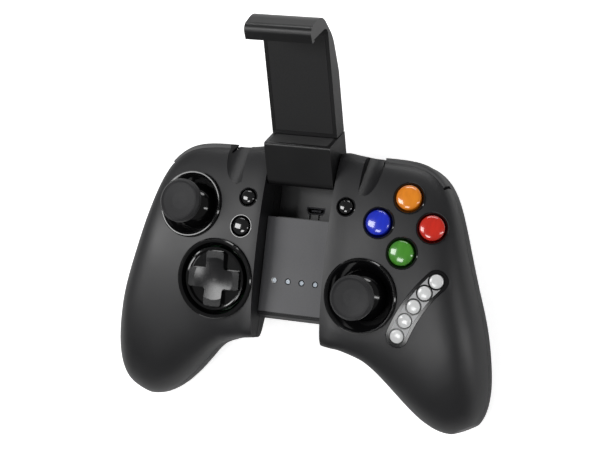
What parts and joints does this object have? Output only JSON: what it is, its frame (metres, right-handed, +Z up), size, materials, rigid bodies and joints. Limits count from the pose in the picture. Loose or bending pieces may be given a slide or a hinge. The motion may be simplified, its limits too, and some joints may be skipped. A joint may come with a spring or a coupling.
{
  "type": "mobile game controller",
  "caption": "Two-grip game controller with thumb sticks, direction pad, face buttons, shoulder buttons, triggers and a fold-up sliding phone clamp.",
  "frame": {"origin": "on the plane that the controller lies on, in the middle of its flat underside, under the middle of the face", "axes": "+X to the player's right, +Y away from the player, +Z up out of the face"},
  "size_m": [0.1542, 0.15, 0.0738],
  "materials": {
    "cover_black": "fine moulded texture",
    "trigger_black": "fine moulded texture",
    "panel_grey": "fine moulded texture",
    "ring_black": "polished",
    "pad_black": "satin",
    "stick_rubber": "matte",
    "grip_rubber": "matte",
    "membrane_rubber": "matte",
    "strip_silver": "satin",
    "key_white": "gloss",
    "button_orange": "gloss",
    "button_blue": "gloss",
    "button_red": "gloss",
    "button_green": "gloss",
    "inner_plastic": "moulded",
    "light_clear": "clear pipe",
    "board_green": "solder mask",
    "battery_wrap": "film wrap",
    "steel": "plated"
  },
  "bodies": {
    "body": {"front_cover": "cover_black", "rear_cover": "cover_black", "cover_screws": "steel", "centre_panel": "panel_grey", "indicator_lights": "light_clear", "main_board": "board_green", "right_board": "board_green", "left_board": "board_green", "battery": "battery_wrap", "charging_port": "steel", "media_strip": "strip_silver", "dpad_bezel": "ring_black", "dpad_pivot": "inner_plastic", "face_button_rubber": "membrane_rubber", "media_key_rubber": "membrane_rubber", "left_button_rubber": "membrane_rubber", "start_button_rubber": "membrane_rubber", "right_shoulder_bracket": "inner_plastic", "left_shoulder_bracket": "inner_plastic", "trigger_pins": "steel", "shoulder_switches": "inner_plastic", "clamp_hinge_pin": "steel", "clamp_washers": "inner_plastic", "left_stick_bezel": "ring_black", "right_stick_bezel": "ring_black", "left_stick_housing": "inner_plastic", "right_stick_housing": "inner_plastic"},
    "clamp_base": {"clamp_base": "cover_black", "ledge_pad": "grip_rubber", "clamp_rail": "steel"},
    "clamp_arm": {"clamp_arm": "cover_black", "arm_pad": "grip_rubber", "clamp_springs": "steel"},
    "dpad_rocker": {"dpad_rocker": "inner_plastic"},
    "dpad": {"dpad_disc": "ring_black", "dpad_cross": "pad_black"},
    "right_bumper": {"right_bumper": "cover_black"},
    "left_bumper": {"left_bumper": "cover_black"},
    "right_trigger": {"right_trigger": "trigger_black"},
    "left_trigger": {"left_trigger": "trigger_black"},
    "left_stick_carrier": {"left_stick_carrier": "inner_plastic"},
    "left_stick_rocker": {"left_stick_rocker": "inner_plastic"},
    "left_stick": {"left_stick_shaft": "ring_black", "left_stick_cap": "stick_rubber"},
    "right_stick_carrier": {"right_stick_carrier": "inner_plastic"},
    "right_stick_rocker": {"right_stick_rocker": "inner_plastic"},
    "right_stick": {"right_stick_shaft": "ring_black", "right_stick_cap": "stick_rubber"},
    "button_back": {"button_back": "button_orange"},
    "button_left": {"button_left": "button_blue"},
    "button_right": {"button_right": "button_red"},
    "button_front": {"button_front": "button_green"},
    "button_select": {"button_select": "key_white"},
    "button_home": {"button_home": "key_white"},
    "button_start": {"button_start": "key_white"},
    "media_key_1": {"media_key_1": "key_white"},
    "media_key_2": {"media_key_2": "key_white"},
    "media_key_3": {"media_key_3": "key_white"},
    "media_key_4": {"media_key_4": "key_white"},
    "media_key_5": {"media_key_5": "key_white"}
  },
  "joints": [
    {"name": "clamp_fold", "type": "hinge", "parent": "body", "child": "clamp_base", "pos_m": [0, 0.031, 0.0292], "axis": [1, 0, 0], "range_deg": [0, 150]},
    {"name": "arm_slide", "type": "slide", "parent": "clamp_base", "child": "clamp_arm", "axis": [0, 0.8704, 0.4924], "range_m": [0, 0.028], "stiffness_N_per_m": 60, "springref_m": -0.02},
    {"name": "left_stick_click", "type": "slide", "parent": "body", "child": "left_stick_carrier", "axis": [0.0651, -0.0882, -0.994], "range_m": [0, 0.0006], "stiffness_N_per_m": 200, "springref_m": -0.003},
    {"name": "left_stick_tilt_y", "type": "hinge", "parent": "left_stick_carrier", "child": "left_stick_rocker", "pos_m": [-0.04368, 0.01439, 0.02897], "axis": [0.9979, 0, 0.0654], "range_deg": [-18, 18], "stiffness_Nm_per_rad": 0.01},
    {"name": "left_stick_tilt_x", "type": "hinge", "parent": "left_stick_rocker", "child": "left_stick", "pos_m": [-0.04368, 0.01439, 0.02897], "axis": [0.0058, 0.9961, -0.088], "range_deg": [-18, 18], "stiffness_Nm_per_rad": 0.01},
    {"name": "right_stick_click", "type": "slide", "parent": "body", "child": "right_stick_carrier", "axis": [-0.0146, 0.0826, -0.9965], "range_m": [0, 0.0006], "stiffness_N_per_m": 200, "springref_m": -0.003},
    {"name": "right_stick_tilt_y", "type": "hinge", "parent": "right_stick_carrier", "child": "right_stick_rocker", "pos_m": [0.02988, -0.01254, 0.0296], "axis": [0.9999, 0, -0.0147], "range_deg": [-18, 18], "stiffness_Nm_per_rad": 0.01},
    {"name": "right_stick_tilt_x", "type": "hinge", "parent": "right_stick_rocker", "child": "right_stick", "pos_m": [0.02988, -0.01254, 0.0296], "axis": [0.0012, 0.9966, 0.0826], "range_deg": [-18, 18], "stiffness_Nm_per_rad": 0.01},
    {"name": "dpad_tilt_y", "type": "hinge", "parent": "body", "child": "dpad_rocker", "pos_m": [-0.03027, -0.01233, 0.03061], "axis": [0.9998, 0, 0.0186], "range_deg": [-3.5, 3.5], "stiffness_Nm_per_rad": 0.005},
    {"name": "dpad_tilt_x", "type": "hinge", "parent": "dpad_rocker", "child": "dpad", "pos_m": [-0.03027, -0.01233, 0.03061], "axis": [-0.0015, 0.9967, 0.0809], "range_deg": [-3.5, 3.5], "stiffness_Nm_per_rad": 0.005},
    {"name": "button_back_press", "type": "slide", "parent": "body", "child": "button_back", "axis": [-0.0783, -0.1959, -0.9775], "range_m": [0, 0.0012], "stiffness_N_per_m": 50, "springref_m": -0.004},
    {"name": "button_left_press", "type": "slide", "parent": "body", "child": "button_left", "axis": [-0.0134, -0.0919, -0.9957], "range_m": [0, 0.0012], "stiffness_N_per_m": 50, "springref_m": -0.004},
    {"name": "button_right_press", "type": "slide", "parent": "body", "child": "button_right", "axis": [-0.1842, -0.1212, -0.9754], "range_m": [0, 0.0012], "stiffness_N_per_m": 50, "springref_m": -0.004},
    {"name": "button_front_press", "type": "slide", "parent": "body", "child": "button_front", "axis": [-0.0657, -0.0107, -0.9978], "range_m": [0, 0.0012], "stiffness_N_per_m": 50, "springref_m": -0.004},
    {"name": "button_select_press", "type": "slide", "parent": "body", "child": "button_select", "axis": [0.0287, -0.123, -0.992], "range_m": [0, 0.0007], "stiffness_N_per_m": 30, "springref_m": -0.004},
    {"name": "button_home_press", "type": "slide", "parent": "body", "child": "button_home", "axis": [0.0154, -0.0461, -0.9988], "range_m": [0, 0.0007], "stiffness_N_per_m": 30, "springref_m": -0.004},
    {"name": "button_start_press", "type": "slide", "parent": "body", "child": "button_start", "axis": [-0.0287, -0.123, -0.992], "range_m": [0, 0.0007], "stiffness_N_per_m": 30, "springref_m": -0.004},
    {"name": "media_key_1_press", "type": "slide", "parent": "body", "child": "media_key_1", "axis": [-0.1606, 0.0142, -0.9869], "range_m": [0, 0.0006], "stiffness_N_per_m": 20, "springref_m": -0.005},
    {"name": "media_key_2_press", "type": "slide", "parent": "body", "child": "media_key_2", "axis": [-0.062, 0.0649, -0.996], "range_m": [0, 0.0006], "stiffness_N_per_m": 20, "springref_m": -0.005},
    {"name": "media_key_3_press", "type": "slide", "parent": "body", "child": "media_key_3", "axis": [-0.0521, 0.1009, -0.9935], "range_m": [0, 0.0006], "stiffness_N_per_m": 20, "springref_m": -0.005},
    {"name": "media_key_4_press", "type": "slide", "parent": "body", "child": "media_key_4", "axis": [-0.0521, 0.1394, -0.9889], "range_m": [0, 0.0006], "stiffness_N_per_m": 20, "springref_m": -0.005},
    {"name": "media_key_5_press", "type": "slide", "parent": "body", "child": "media_key_5", "axis": [-0.0278, 0.202, -0.979], "range_m": [0, 0.0006], "stiffness_N_per_m": 20, "springref_m": -0.005},
    {"name": "right_bumper_press", "type": "hinge", "parent": "body", "child": "right_bumper", "pos_m": [0.0358, 0.0304, 0.0282], "axis": [0, 0, 1], "range_deg": [-2.6, 0], "stiffness_Nm_per_rad": 0.02, "springref_deg": 5.73},
    {"name": "right_trigger_pull", "type": "hinge", "parent": "body", "child": "right_trigger", "pos_m": [0.04, 0.0293, 0.0218], "axis": [1, 0, 0], "range_deg": [-13, 0], "stiffness_Nm_per_rad": 0.02, "springref_deg": 11.46},
    {"name": "left_bumper_press", "type": "hinge", "parent": "body", "child": "left_bumper", "pos_m": [-0.0358, 0.0304, 0.0282], "axis": [0, 0, 1], "range_deg": [0, 2.6], "stiffness_Nm_per_rad": 0.02, "springref_deg": -5.73},
    {"name": "left_trigger_pull", "type": "hinge", "parent": "body", "child": "left_trigger", "pos_m": [-0.04, 0.0293, 0.0218], "axis": [1, 0, 0], "range_deg": [-13, 0], "stiffness_Nm_per_rad": 0.02, "springref_deg": 11.46}
  ]
}
